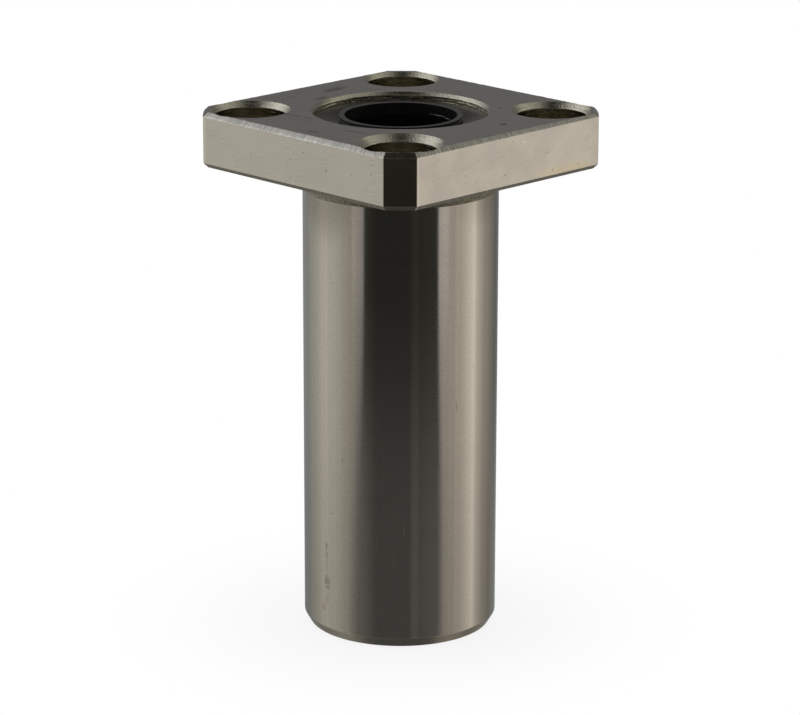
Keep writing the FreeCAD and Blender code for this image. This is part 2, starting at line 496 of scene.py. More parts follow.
@dataclass(frozen=True)
class GroundFace(Steel):
    """Flange faces: even matt grinding with small specks."""

    grain_per_mm: float = 5.0
    grain_depth: float = 0.003
    pits: Specks = Specks((0.16, 0.15, 0.14), 0.5, 0.07, 0.05, 0.5)

    def shade(self, bench: NodeBench, shader: Node) -> None:
        """Wires grain and specks."""
        place, colour = self.oiled(bench, shader)
        normal = bench.bump(bench.noise(place, self.grain_per_mm, 3.0), self.grain_depth)
        bench.feed(shader, {"Base Color": self.pits.over(bench, place, colour), "Normal": normal})


@dataclass(frozen=True)
class CutEdge(Steel):
    """Bevelled edges: cutter marks that run across the bevel, rubbed bright at its foot, with a
    painted highlight where they meet the upright edges.
    """

    tint: Triple = (0.445, 0.435, 0.415)
    mark_scale: Triple = (7.0, 0.35, 1.0)
    mark_depth: float = 0.02
    mark_dark: Layer = Layer((0.22, 0.215, 0.2), 0.46, 0.56, 0.8)
    # Tint and share of the edge brightening: rubbed wear at the foot, a painted highlight at the
    # upright edges.
    rubbed: Triple = (0.82, 0.81, 0.78)
    rub_and_highlight: float = 0.9

    def shade(self, bench: NodeBench, shader: Node) -> None:
        """Wires the cutter marks, the rubbed foot and the painted highlight at the upright edges.
        """
        _, colour = self.oiled(bench, shader)
        marks = bench.noise(bench.stretched(bench.surface_run(), self.mark_scale), 1.0, 2.0)
        normal = bench.bump(marks, self.mark_depth)
        colour = self.mark_dark.over(bench, marks, colour)
        colour = bench.blend(bench.times(bench.edge_wear_and_highlight(), self.rub_and_highlight), colour, self.rubbed)
        bench.feed(shader, {"Base Color": colour, "Normal": normal})


@dataclass(frozen=True)
class RoughTurned(Steel):
    """Turned and drilled surfaces left as cut: coarse grain that sparkles, over tool rings."""

    grain_per_mm: float = 5.0
    grain_depth: float = 0.03
    ring_scale: Triple = (0.3, 0.3, 4.5)
    ring_depth: float = 0.02
    grain_dark: Layer = Layer((0.24, 0.225, 0.17), 0.5, 0.68, 0.5)

    def shade(self, bench: NodeBench, shader: Node) -> None:
        """Wires grain over tool rings."""
        place, colour = self.oiled(bench, shader)
        rings = bench.noise(bench.stretched(place, self.ring_scale), 1.0, 2.0)
        grain = bench.noise(place, self.grain_per_mm, 3.0)
        relief = bench.times(rings, self.ring_depth)
        relief = bench.math("MULTIPLY_ADD", grain, self.grain_depth, relief)
        colour = self.grain_dark.over(bench, grain, colour)
        bench.feed(shader, {"Base Color": colour, "Normal": bench.bump(relief, 1.0)})


@dataclass(frozen=True)
class MouldedRubber(Finish):
    """Black seal rubber, smooth from its mould, with a breath of dust."""

    tint: Triple = (0.011, 0.011, 0.011)
    roughness: float = 0.26
    shine: float = 0.65
    dust: Specks = Specks((0.10, 0.095, 0.09), 2.2, 0.12, 0.07, 0.3)
    grain_per_mm: float = 6.0
    grain_depth: float = 0.0015

    def shade(self, bench: NodeBench, shader: Node) -> None:
        """Wires the satin and the dust."""
        shader.inputs["Specular IOR Level"].default_value = self.shine
        place = bench.position()
        clouds = bench.noise(place, 0.5, 3.0)
        bench.put(shader.inputs["Roughness"],
                  bench.span(clouds, 0.3, 0.7, self.roughness - 0.04, self.roughness + 0.06))
        colour = self.marked(bench, place, self.dust.over(bench, place, self.tint))
        normal = bench.bump(bench.noise(place, self.grain_per_mm, 2.0), self.grain_depth)
        bench.feed(shader, {"Base Color": colour, "Normal": normal})


@dataclass(frozen=True)
class MouldedPlastic(Finish):
    """Black cage plastic with a fine eroded grain."""

    tint: Triple = (0.02, 0.02, 0.02)
    roughness: float = 0.45
    grain_tint: Triple = (0.035, 0.035, 0.034)
    grain_per_mm: float = 8.0
    grain_depth: float = 0.01

    def shade(self, bench: NodeBench, shader: Node) -> None:
        """Wires the grain."""
        grain = bench.noise(bench.position(), self.grain_per_mm, 2.0)
        matt = bench.span(grain, 0.3, 0.7, self.roughness - 0.08, self.roughness + 0.08)
        bench.feed(shader, {"Roughness": matt, "Normal": bench.bump(grain, self.grain_depth),
                            "Base Color": bench.blend(grain, self.tint, self.grain_tint)})


@dataclass(frozen=True)
class LappedBall(Steel):
    """Lapped bearing balls under a film of grease."""

    def shade(self, bench: NodeBench, shader: Node) -> None:
        """Wires the grease clouds."""
        _, colour = self.oiled(bench, shader)
        bench.feed(shader, {"Base Color": colour})


@dataclass(frozen=True)
class Corner:
    """One corner of an outline that is turned, or run round the flange."""

    reach: float
    height: float
    area: Area = Area.BORE
    ease: float = 0.0

    def point(self) -> Vector:
        """The corner as a flat point."""
        return Vector((self.reach, self.height))


EASE_STEPS = 3
EASE_SUPPORT = 0.025


def eased(corners: Sequence[Corner]) -> list[Corner]:
    """Breaks sharp corners with small rounds, each between two close support points.

    Args:
        corners: The outline. Each corner's area is that of the stretch after it. An open outline
            has no ease at its ends.

    Returns:
        The outline with no sharp corner where an ease was asked for.
    """
    broken: list[Corner] = []
    for index, corner in enumerate(corners):
        if corner.ease == 0.0:
            broken.append(corner)
            continue
        before, after = corners[index - 1], corners[(index + 1) % len(corners)]
        tip = corner.point()
        back = (before.point() - tip).normalized()
        ahead = (after.point() - tip).normalized()
        cut = corner.ease * math.tan((math.pi - back.angle(ahead)) / 2)
        start, stop = tip + back * cut, tip + ahead * cut
        broken.append(Corner(*(start + back * EASE_SUPPORT), before.area))
        for step in range(EASE_STEPS + 1):
            share = step / EASE_STEPS
            point = start.lerp(tip, share).lerp(tip.lerp(stop, share), share)
            broken.append(Corner(*point, before.area if share < 0.5 else corner.area))
        broken.append(Corner(*(stop + ahead * EASE_SUPPORT), corner.area))
    return broken


@dataclass
class Loft:
    """A closed skin over rings that all have the same number of points."""

    name: str
    around: np.ndarray
    rings: list[np.ndarray] = field(default_factory=list)
    areas: list[np.ndarray] = field(default_factory=list)
    wear: list[np.ndarray] = field(default_factory=list)

    def add(self, ring: np.ndarray, area: Union[Area, np.ndarray],
            wear: np.ndarray | None = None) -> None:
        """Adds a ring.

        Args:
            ring: Its points.
            area: The area of the band after it, or of each of the band's faces.
            wear: How much each point is brightened, if any is: rubbed wear at the top bevel's
                foot, a painted highlight on the upright edges.
        """
        self.rings.append(ring)
        self.areas.append(np.broadcast_to(area, len(ring)))
        self.wear.append(np.zeros(len(ring)) if wear is None else wear)

    def runs(self) -> np.ndarray:
        """How far each ring lies along the outline, with the closing step, in millimetres."""
        ring_loop = self.rings + self.rings[:1]
        steps = [np.linalg.norm(b[0] - a[0]) for a, b in zip(ring_loop, ring_loop[1:])]
        return np.concatenate([[0.0], np.cumsum(steps)])

    def mesh(self) -> Mesh:
        """The skin as a mesh in metres, with its surface run as a UV map.

        Returns:
            A closed mesh with its normals outwards.
        """
        count, total, runs = len(self.around) - 1, len(self.rings), self.runs()
        made = bpy.data.meshes.new(self.name)
        with edited(made) as shell:
            run_layer = shell.loops.layers.uv.new(RUN_MAP)
            wear_layer = shell.verts.layers.float.new(WEAR_AND_HIGHLIGHT_MARK)
            verts = [shell.verts.new(place) for place in np.concatenate(self.rings) * MM]
            for vert, amount in zip(verts, np.concatenate(self.wear)):
                vert[wear_layer] = amount
            for ring, side in itertools.product(range(total), range(count)):
                spots = ((side, ring), (side + 1, ring), (side + 1, ring + 1), (side, ring + 1))
                face = shell.faces.new([verts[level % total * count + step % count]
                                        for step, level in spots])
                face.material_index = self.areas[ring][side]
                face.smooth = True
                for loop, (step, level) in zip(face.loops, spots):
                    loop[run_layer].uv = (self.around[step], runs[level])
            bmesh.ops.recalc_face_normals(shell, faces=shell.faces)
        return made


SHARP_ANGLE = math.radians(28)
WELD_REACH = 1e-8


def sharpen(mesh: Mesh) -> None:
    """Marks the sharp edges of a smooth mesh, so that flat faces stay flat."""
    with edited(mesh) as shell:
        for edge in shell.edges:
            edge.smooth = edge.calc_face_angle(math.pi) < SHARP_ANGLE


def weld(mesh: Mesh) -> None:
    """Merges the points that lie together, as on the axis of a turned shape."""
    with edited(mesh) as shell:
        bmesh.ops.remove_doubles(shell, verts=shell.verts, dist=WELD_REACH)
        bmesh.ops.recalc_face_normals(shell, faces=shell.faces)


def piece(name: str, mesh: Mesh, slot: str, *nodes: str) -> None:
    """Puts a finished mesh in the scene in place of its solids.

    Args:
        name: The piece's name.
        mesh: Its mesh.
        slot: The record's slot for its finish; not used.
        *nodes: The nodes that it stands for.
    """
    made = placed(name, mesh)
    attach(made, BODY)
    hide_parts(*nodes)
    mesh.calc_loop_triangles()
    log.info("%s: %d triangles", name, len(mesh.loop_triangles))


def arc(centre: Pair, radius: float, start: float, stop: float, count: int) -> list[Pair]:
    """Points on an arc, from its start to just before its end."""
    return [(centre[0] + radius * math.cos(angle), centre[1] + radius * math.sin(angle))
            for angle in np.linspace(start, stop, count, endpoint=False)]


def circle(angles: np.ndarray, radius: Union[float, np.ndarray], height: float) -> np.ndarray:
    """A ring of points round the shaft axis, with one radius or one for each point."""
    flat = np.stack([np.cos(angles), np.sin(angles)], axis=1) * np.reshape(radius, (-1, 1))
    return np.column_stack([flat, np.full(len(angles), height)])


@dataclass
class ScrewPockets:
    """Counterbored screw holes, cut by a tree of nodes that repeats one pocket."""

    circle_r: float = mount("flange_bolts")["dims"]["pcd_mm"] / 2
    count: int = mount("flange_bolts")["dims"]["count"]
    hole_r: float = mount("flange_bolts")["dims"]["hole_r_mm"]
    head_r: float = 3.75
    head_depth: float = 4.1
    chamfer: float = 0.7
    overrun: float = 0.5
    sides: int = 144
    start_turn: float = 0.011
    lifts: tuple[float, ...] = (0.1, 0.22, 0.12, -0.04)
    wall_mark: str = "pocket_wall"
    mouth_mark: str = "pocket_mouth"

    def cutter(self, low: float, high: float) -> Object:
        """The shape of one pocket, standing on the shaft axis.

        Args:
            low: The height of the flange's underside.
            high: The height of its top.

        Returns:
            An object that is never shown.
        """
        floor = high - self.head_depth
        mouth = high - self.chamfer
        outline = eased([
            Corner(0.0, low - self.overrun),
            Corner(self.hole_r, low - self.overrun),
            Corner(self.hole_r, floor, ease=0.12),
            Corner(self.head_r, floor, ease=0.15),
            Corner(self.head_r, mouth, ease=0.1),
            Corner(self.head_r + self.chamfer + self.overrun, high + self.overrun),
            Corner(0.0, high + self.overrun),
        ])
        angles = np.linspace(0.0, 2 * math.pi, self.sides, endpoint=False) + self.start_turn
        loft = Loft("pocket_cutter", np.linspace(0.0, 2 * math.pi * self.head_r, self.sides + 1))
        for corner in outline:
            loft.add(circle(angles, corner.reach, corner.height), Area.POCKET)
        mesh = loft.mesh()
        weld(mesh)
        above = [face.center.z > mouth * MM for face in mesh.polygons]
        for name, chosen in ((self.wall_mark, [True] * len(above)), (self.mouth_mark, above)):
            mesh.attributes.new(name, "BOOLEAN", "FACE").data.foreach_set("value", chosen)
        return bpy.data.objects.new("pocket_cutter", mesh)

    def tree(self) -> NodeTree:
        """The node tree that sets the pockets on their circle and cuts them.

        Returns:
            A tree with named inputs for the cutter, circle, count, lifts and finishes.
        """
        made = bpy.data.node_groups.new("screw_pockets", "GeometryNodeTree")
        sockets = [("Blank", "NodeSocketGeometry"), ("Cutter", "NodeSocketObject"),
                   ("Circle Radius", "NodeSocketFloat"), ("Count", "NodeSocketInt"),
                   ("Wall Finish", "NodeSocketMaterial"), ("Mouth Finish", "NodeSocketMaterial")]
        sockets += [(name, "NodeSocketFloat") for name in self.lift_names()]
        for name, kind in sockets:
            made.interface.new_socket(name, in_out="INPUT", socket_type=kind)
        made.interface.new_socket("Sleeve", in_out="OUTPUT", socket_type="NodeSocketGeometry")
        bench = NodeBench(made)
        given = bench.node("NodeGroupInput").outputs
        ring = bench.node("GeometryNodeMeshCircle", {"Vertices": given["Count"],
                                                     "Radius": given["Circle Radius"]})
        turn = bench.node("FunctionNodeAxisAngleToRotation",
                          {"Axis": (0.0, 0.0, 1.0), "Angle": math.pi / self.count})
        set_round = bench.node("GeometryNodeTransform", {"Geometry": ring, "Rotation": turn})
        lift = bench.node("GeometryNodeIndexSwitch", data_type="FLOAT")
        while len(lift.index_switch_items) < self.count:
            lift.index_switch_items.new()
        choices = [bench.node("GeometryNodeInputIndex")]
        choices += [given[name] for name in self.lift_names()]
        bench.feed(lift, dict(enumerate(choices)))
        offset = bench.node("ShaderNodeCombineXYZ", {"Z": lift})
        lifted = bench.node("GeometryNodeSetPosition", {"Geometry": set_round, "Offset": offset})
        shape = bench.node("GeometryNodeObjectInfo", {"Object": given["Cutter"]})
        copies = bench.node("GeometryNodeInstanceOnPoints",
                            {"Points": lifted, "Instance": shape.outputs["Geometry"]})
        cutters = bench.node("GeometryNodeRealizeInstances", {"Geometry": copies})
        cut = bench.node("GeometryNodeMeshBoolean", {"Mesh 1": given["Blank"], "Mesh 2": cutters},
                         operation="DIFFERENCE", solver="EXACT")
        dressed = bench.node("GeometryNodeRealizeInstances", {"Geometry": cut})
        for mark, finish in ((self.wall_mark, "Wall Finish"), (self.mouth_mark, "Mouth Finish")):
            chosen = bench.node("GeometryNodeInputNamedAttribute", {"Name": mark},
                                data_type="BOOLEAN")
            dressed = bench.node("GeometryNodeSetMaterial",
                                 {"Geometry": dressed, "Selection": chosen,
                                  "Material": given[finish]})
        bench.node("NodeGroupOutput", {"Sleeve": dressed})
        return made

    def lift_names(self) -> list[str]:
        """The names of the tree's inputs that lift each pocket's cutter."""
        return ["Lift %d" % (number + 1) for number in range(self.count)]

    def cut(self, blank: Object, low: float, high: float, wall: Material, mouth: Material) -> Mesh:
        """Cuts the pockets out of a blank.

        Args:
            blank: The object to cut, with nothing on it yet.
            low: The height of the flange's underside.
            high: The height of its top.
            wall: The material of the pockets' walls.
            mouth: The material of their countersinks.

        Returns:
            The cut mesh.
        """
        cutter = self.cutter(low, high)
        tree = self.tree()
        step = blank.modifiers.new("screw_pockets", "NODES")
        step.node_group = tree
        given = {"Cutter": cutter, "Circle Radius": self.circle_r * MM, "Count": self.count,
                 "Wall Finish": wall, "Mouth Finish": mouth}
        given |= {name: lift * MM for name, lift in zip(self.lift_names(), self.lifts)}
        for item in tree.interface.items_tree:
            if item.in_out == "INPUT" and item.name in given:
                step[item.identifier] = given[item.name]
        sight = bpy.context.evaluated_depsgraph_get()
        mesh = bpy.data.meshes.new_from_object(blank.evaluated_get(sight))
        blank.modifiers.remove(step)
        bpy.data.objects.remove(cutter)
        return mesh


# Tint of bright scratches, and of one painted reflection streak on the barrel.
BRIGHT = (1.0, 0.98, 0.94)
# Tint of the painted glints in the flange seal's bore.
GLINT_TINT = (0.9, 0.9, 0.88)
# Tint of the painted shade that the flange casts on the top of the barrel.
FLANGE_SHADE = (0.30, 0.29, 0.26)
STAIN = (0.27, 0.245, 0.20)
TOP_MARKS = (
    Mark((-12.5, 2.2, 57.0), (1.0, 2.6, 0.6), 0.95, turn=0.2),
    Mark((-10.1, -2.1, 57.0), (0.7, 1.5, 0.6), 0.85, turn=0.26),
    Mark((-6.1, -10.2, 57.0), (1.8, 0.4, 0.6), 0.95, turn=0.1),
    Mark((-7.5, -13.0, 57.0), (0.35, 1.5, 0.6), 0.95, turn=-0.3),
    Mark((-3.9, -9.8, 57.0), (1.1, 0.35, 0.6), 0.7),
    Mark((1.4, -14.1, 57.0), (1.0, 0.35, 0.6), 0.85, turn=0.35),
    Mark((4.4, -11.1, 57.0), (2.1, 0.4, 0.6), 0.85, turn=0.24),
    Mark((-12.8, -4.0, 57.0), (0.3, 0.7, 0.6), 0.7),
    Nick((15.5, 2.1, 57.0), (0.18, 0.6, 0.6), 0.8, tint=(0.1, 0.095, 0.08)),
    Nick((6.84, 8.0, 57.0), (0.36, 0.36, 0.6), 0.9, tint=(0.06, 0.055, 0.05)),
    Nick((12.58, 2.54, 57.0), (0.55, 0.6, 0.6), 1.0, tint=(0.03, 0.027, 0.022)),
)
BARREL_MARKS = (
    # The first two marks are painted shade under the flange, at the top of the barrel's left and
    # right flanks.
    Nick((-0.9, -10.46, 49.5), (5.5, 5.5, 6.5), 0.75, tint=FLANGE_SHADE),
    Nick((10.34, 1.8, 49.5), (3.5, 5.0, 4.5), 0.45, tint=FLANGE_SHADE),
    Mark((-0.70, -10.48, 9.0), (0.26, 0.6, 2.7), 0.85, tint=STAIN),
    Nick((-0.72, -10.48, 10.4), (0.24, 0.6, 0.5), 0.8, tint=STAIN),
    Mark((-0.60, -10.48, 6.25), (0.62, 0.6, 1.2), 0.85, tint=(0.27, 0.24, 0.20)),
    Mark((-0.62, -10.48, 4.4), (0.4, 0.6, 1.1), 0.55, tint=(0.36, 0.31, 0.27)),
    Mark((-1.25, -10.43, 3.2), (0.55, 0.5, 0.6), 0.5, tint=(0.40, 0.32, 0.29)),
    Nick((7.73, -7.10, 13.4), (0.10, 0.12, 0.9), 0.7, tint=BRIGHT),
    Nick((-4.09, -9.67, 38.6), (0.13, 0.2, 0.13), 0.9, tint=(0.05, 0.045, 0.04)),
    Nick((10.34, -1.83, 26.7), (0.14, 0.10, 0.7), 0.5),
    Nick((1.71, -10.36, 20.7), (0.09, 0.2, 0.8), 0.4),
    Nick((6.97, -7.85, 9.9), (0.09, 0.1, 0.9), 0.55, tint=BRIGHT),
    Nick((5.49, -8.95, 11.7), (0.1, 0.1, 0.7), 0.4, tint=BRIGHT),
    # This thin upright streak near the top of the barrel is a painted reflection.
    Nick((9.07, -5.28, 45.8), (0.07, 0.07, 2.4), 0.45, tint=BRIGHT),
)
SIDE_MARKS = (
    Mark((16.0, 8.5, 51.9), (0.6, 6.5, 0.8), 0.7, tint=(0.70, 0.63, 0.47)),
    Nick((16.0, 6.54, 52.06), (0.2, 0.09, 0.28), 0.6),
    Nick((16.0, 10.44, 52.11), (0.2, 0.09, 0.28), 0.5),
    Nick((16.0, 0.44, 56.0), (0.2, 0.14, 0.12), 0.6),
    Nick((16.0, -0.72, 52.66), (0.2, 0.22, 0.12), 0.55),
    Nick((16.0, -4.96, 52.67), (0.2, 0.12, 0.12), 0.5),
    Nick((16.0, 5.64, 54.07), (0.2, 0.4, 0.08), 0.4),
    Nick((16.0, 2.11, 55.74), (0.2, 0.3, 0.12), 0.5, tint=(0.95, 0.94, 0.9)),
    Nick((5.25, -16.0, 53.83), (0.14, 0.2, 0.14), 0.8),
    Nick((11.81, -16.0, 54.55), (0.12, 0.2, 0.12), 0.7),
    Nick((8.98, -16.0, 54.03), (0.1, 0.2, 0.1), 0.6),
    Nick((-0.57, -16.0, 53.51), (0.1, 0.2, 0.1), 0.5),
)
MOUTH_MARKS = (
    Mark((-6.7, -6.7, 56.85), (2.4, 2.4, 0.7), 0.6, tint=(0.2, 0.19, 0.15)),
)
# Two pale wisps on the inner land of the flange seal's lip are painted glints.
SEAL_GLINTS = (
    Mark((-0.4, 6.0, 55.42), (1.5, 0.7, 0.05), 0.9, tint=GLINT_TINT),
    Mark((1.2, 5.9, 55.3), (0.8, 0.7, 0.045), 0.9, tint=GLINT_TINT),
)


@dataclass(frozen=True)
class SealSeat:
    """The recess for an end seal, with the groove that the seal's bead snaps into."""

    radius: float = 9.25
    depth: float = 3.5
    groove_depth: float = 0.2
    groove_width: float = 0.8
    groove_place: float = 2.2

    def groove(self) -> list[Pair]:
        """Radius and depth of each corner of the groove, from the mouth inwards."""
        half, bottom_r = self.groove_width / 2, self.radius + self.groove_depth
        return [
            (self.radius, self.groove_place - half),
            (bottom_r, self.groove_place - half + self.groove_depth),
            (bottom_r, self.groove_place + half - self.groove_depth),
            (self.radius, self.groove_place + half),
        ]


SEAT = SealSeat()


@dataclass
class FlangedSleeve:
    """The steel barrel and its square flange, in one piece."""

    node: str = "flanged_sleeve"
    slot: str = "ground_steel"
    length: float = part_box("flanged_sleeve")[1].z / MM
    flats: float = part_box("flanged_sleeve")[1].x / MM
    corner_r: float = 21.0
    flange_base: float = mount("flange_face")["pos_m"][2] / MM
    barrel_r: float = mount("barrel_seat")["dims"]["r_mm"]
    chamfer: float = 0.5
    chamfer_shares: tuple[float, ...] = (0.82, 0.82, 0.97, 1.02, 0.95, 0.66, 0.75, 0.82)
    side_wear: tuple[float, ...] = (0.4, 1.0, 0.35, 0.4)
    lead_length: float = 1.05
    lead_depth: float = 0.6
    neck_length: float = 2.28
    neck_depth: float = 0.25
    neck_ramp: float = 0.8
    undercut_r: float = 11.1
    undercut_depth: float = 0.2
    mouth_chamfer: float = 0.35
    tail_mouth_chamfer: float = 0.25
    mouth_ease: float = 0.1
    raceway_r: float = 8.01
    relief_r: float = 8.85
    relief_ramp: float = 0.3
    track_straight: float = 16.9
    track_middles: tuple[float, float] = (15.95, 40.85)
    return_row_r: float = 7.72
    return_row_turn: float = math.radians(12.24)
    channel_r: float = 1.1
    edge_ease: float = 0.07
    upright_ease: float = 0.12
    side_points: int = 140
    ease_points: int = 5
    corner_points: int = 12
    face_margin: float = 0.3
    foot_share: float = 0.3
    mark_depth: float = 0.012
    mark_limit: float = 1.6
    foot_reaches: Triple = (0.0, 0.09, 0.19)
    foot_levels: Triple = (1.0, 0.9, 0.0)
    wear_patch: int = 9
    patch_levels: Pair = (0.35, 1.0)
    point_levels: Pair = (0.2, 1.0)
    # Levels of the painted highlight on the upright edges.
    upright_highlight_levels: Pair = (0.5, 0.7)
    pockets: ScrewPockets = field(default_factory=ScrewPockets)

    def outline(self, inset: float) -> np.ndarray:
        """The flange seen from above, moved inwards.

        Args:
            inset: How far inwards, in millimetres.

        Returns:
            Points from the rear left corner on, anticlockwise.
        """
        half, corner_r, ease = self.flats - inset, self.corner_r - inset, self.upright_ease
        across = half - ease
        along = math.sqrt((corner_r - ease) ** 2 - across ** 2)
        lean, square = math.atan2(along, across), math.pi / 2
        side = [(half, y) for y in np.linspace(-along, along, self.side_points, endpoint=False)]
        first = arc((across, along), ease, 0.0, lean, self.ease_points)
        bow = arc((0.0, 0.0), corner_r, lean, square - lean, self.corner_points)
        last = arc((along, across), ease, square - lean, square, self.ease_points)
        quarter = np.array(side + first + bow + last)
        turns = [Matrix.Rotation(math.pi + k * math.pi / 2, 2) for k in range(4)]
        return np.concatenate([quarter @ np.array(turn).T for turn in turns])

    def quarter_points(self) -> int:
        """The number of points on one side and one corner of the flange."""
        return self.side_points + 2 * self.ease_points + self.corner_points

    def around(self) -> np.ndarray:
        """Lengths along the flange's outline, with the closing point."""
        points = self.outline(0.0)
        closed = np.concatenate([points, points[:1]])
        steps = np.linalg.norm(np.diff(closed, axis=0), axis=1)
        return np.concatenate([[0.0], np.cumsum(steps)])

    def angles(self) -> np.ndarray:
        """The angle of each point of the flange's outline."""
        points = self.outline(0.0)
        return np.arctan2(points[:, 1], points[:, 0])

    def outside(self) -> list[Corner]:
        """The turned outside, from the tail's mouth to the underside of the flange."""
        neck_r = self.barrel_r - self.neck_depth
        neck_base = self.flange_base - self.neck_length
        under = self.flange_base + self.undercut_depth
        return [
            Corner(SEAT.radius + self.tail_mouth_chamfer, 0.0, Area.TURNED),
            Corner(self.barrel_r - self.lead_depth, 0.0, Area.TURNED, ease=0.06),
            Corner(self.barrel_r, self.lead_length, Area.BARREL, ease=0.3),
            Corner(self.barrel_r, neck_base, Area.NECK, ease=0.05),
            Corner(neck_r, neck_base + self.neck_ramp, Area.NECK, ease=0.1),
            Corner(neck_r, under, Area.NECK, ease=0.1),
            Corner(self.undercut_r - self.undercut_depth, under, Area.NECK, ease=0.05),
            Corner(self.undercut_r, self.flange_base, Area.FACE, ease=0.04),
            Corner(self.undercut_r + self.face_margin, self.flange_base, Area.FACE),
        ]

    def rim(self) -> list[Corner]:
        """The flange's edge, as insets from its sides, from the underside to the top."""
        return [
            Corner(self.chamfer + self.face_margin, self.flange_base, Area.FACE),
            Corner(self.chamfer, self.flange_base, Area.EDGE, self.edge_ease),
            Corner(0.0, self.flange_base + self.chamfer, Area.SIDE, self.edge_ease),
            Corner(0.0, self.length - self.chamfer, Area.EDGE, self.edge_ease),
            Corner(self.chamfer * self.foot_share,
                   self.length - self.chamfer * (1 - self.foot_share), Area.EDGE),
            Corner(self.chamfer, self.length, Area.FACE, self.edge_ease),
            Corner(self.chamfer + self.face_margin, self.length, Area.FACE),
        ]

    def seat(self, end: float, inward: int, chamfer: float) -> list[Corner]:
        """One seal seat, from its mouth inwards.

        Args:
            end: The height of the end face.
            inward: One or minus one along the shaft.
            chamfer: The bevel at its mouth.

        Returns:
            The corners of the seat.
        """
        mouth = Corner(SEAT.radius + chamfer, end, Area.MOUTH, self.mouth_ease)
        foot = Corner(SEAT.radius, end + inward * chamfer, Area.SEAT, self.mouth_ease)
        wall = [Corner(r, end + inward * depth, Area.SEAT)
                for r, depth in SEAT.groove() + [(SEAT.radius, SEAT.depth)]]
        return [mouth, foot] + wall

    def inside(self) -> list[Corner]:
        """The hollow, from the flange's mouth down to the tail."""
        face_r = SEAT.radius + self.mouth_chamfer + self.face_margin
        corners = [Corner(face_r, self.length, Area.FACE)]
        corners += self.seat(self.length, -1, self.mouth_chamfer)
        corners.append(Corner(self.relief_r, self.length - SEAT.depth))
        half = self.track_straight / 2
        for middle in reversed(self.track_middles):
            corners.append(Corner(self.relief_r, middle + half + self.relief_ramp))
            corners.append(Corner(self.raceway_r, middle + half))
            corners.append(Corner(self.raceway_r, middle - half))
            corners.append(Corner(self.relief_r, middle - half - self.relief_ramp))
        corners.append(Corner(self.relief_r, SEAT.depth))
        corners += reversed(self.seat(0.0, 1, self.tail_mouth_chamfer)[2:])
        corners.append(Corner(SEAT.radius, self.tail_mouth_chamfer, Area.MOUTH))
        return corners

    def channelled(self, angles: np.ndarray, radius: float) -> np.ndarray:
        """The hollow's radius with its ball channels.

        Args:
            angles: The angle of each point.
            radius: The radius between channels.

        Returns:
            A radius for each point.
        """
        lean = np.mod(angles - self.return_row_turn + math.pi / 4, math.pi / 2) - math.pi / 4
        side = self.return_row_r * np.sin(lean)
        room = np.maximum(self.channel_r ** 2 - side ** 2, 0.0)
        floor = np.where(room > 0, self.return_row_r * np.cos(lean) + np.sqrt(room), 0.0)
        return np.maximum(radius, floor)

    def rim_areas(self, area: Area) -> np.ndarray:
        """The area of each face of a band round the flange, whose corners are turned."""
        turned = self.side_points + self.ease_points + np.arange(self.corner_points)
        quarter = np.full(self.quarter_points(), area)
        if area in (Area.SIDE, Area.EDGE):
            quarter[turned] = Area.TURNED
        return np.tile(quarter, 4)

    def bevel_shares(self) -> np.ndarray:
        """How wide the hand-filed top bevel is at each point, as a share of its nominal width."""
        count = self.quarter_points()
        knots = [start for k in range(4) for start in (k * count, k * count + self.side_points)]
        places = np.arange(4 * count)
        return np.interp(places, knots + [4 * count],
                         self.chamfer_shares + self.chamfer_shares[:1])

    def foot_wear(self, draw: np.random.Generator) -> np.ndarray:
        """How brightly the foot of the top bevel is rubbed at each point."""
        count = self.quarter_points()
        level = np.repeat(self.side_wear, count)
        knots = np.arange(0, 4 * count + self.wear_patch, self.wear_patch)
        drawn = draw.uniform(*self.patch_levels, len(knots))
        patches = np.interp(np.arange(4 * count), knots, drawn)
        return level * patches * draw.uniform(*self.point_levels, 4 * count)

    def upright_highlight(self) -> np.ndarray:
        """How bright the painted highlight on the upright edges between sides and corners is."""
        quarter = np.zeros(self.quarter_points())
        quarter[:2], quarter[-self.ease_points:] = self.upright_highlight_levels
        return np.tile(quarter, 4)

    def blank(self) -> Mesh:
        """The sleeve before its screw pockets are cut.

        Returns:
            A closed mesh with one material index for each area.
        """
        angles = self.angles()
        draw = np.random.default_rng(SEED)
        loft = Loft(self.node, self.around())
        for corner in eased(self.outside()):
            loft.add(circle(angles, corner.reach, corner.height), corner.area)
        shares, foot, upright = self.bevel_shares(), self.foot_wear(draw), self.upright_highlight()
        notches = np.clip(draw.normal(0.0, 1.0, len(angles)), -self.mark_limit, self.mark_limit)
        notches = notches * self.mark_depth
        step = 0.1
        outwards = (self.outline(0.0) - self.outline(step)) / step
        middle = (self.flange_base + self.length) / 2
        for corner in eased(self.rim()):
            flat, height = self.outline(corner.reach), np.full(len(angles), corner.height)
            # The upright edges get a painted highlight; the top bevel's foot below gets rubbed
            # wear.
            wear = upright
            if corner.height > middle:
                flat = flat + outwards * (corner.reach * (1.0 - shares))[:, None]
                height = self.length - (self.length - corner.height) * shares
            if 0.0 < corner.reach < self.chamfer and corner.height > middle:
                flat, height = flat + outwards * notches[:, None], height + notches
                wear = foot * np.interp(corner.reach, self.foot_reaches, self.foot_levels)
            loft.add(np.column_stack([flat, height]), self.rim_areas(corner.area), wear)
        for corner in eased(self.inside()):
            radius = self.channelled(angles, corner.reach)
            loft.add(circle(angles, radius, corner.height), corner.area)
        return loft.mesh()

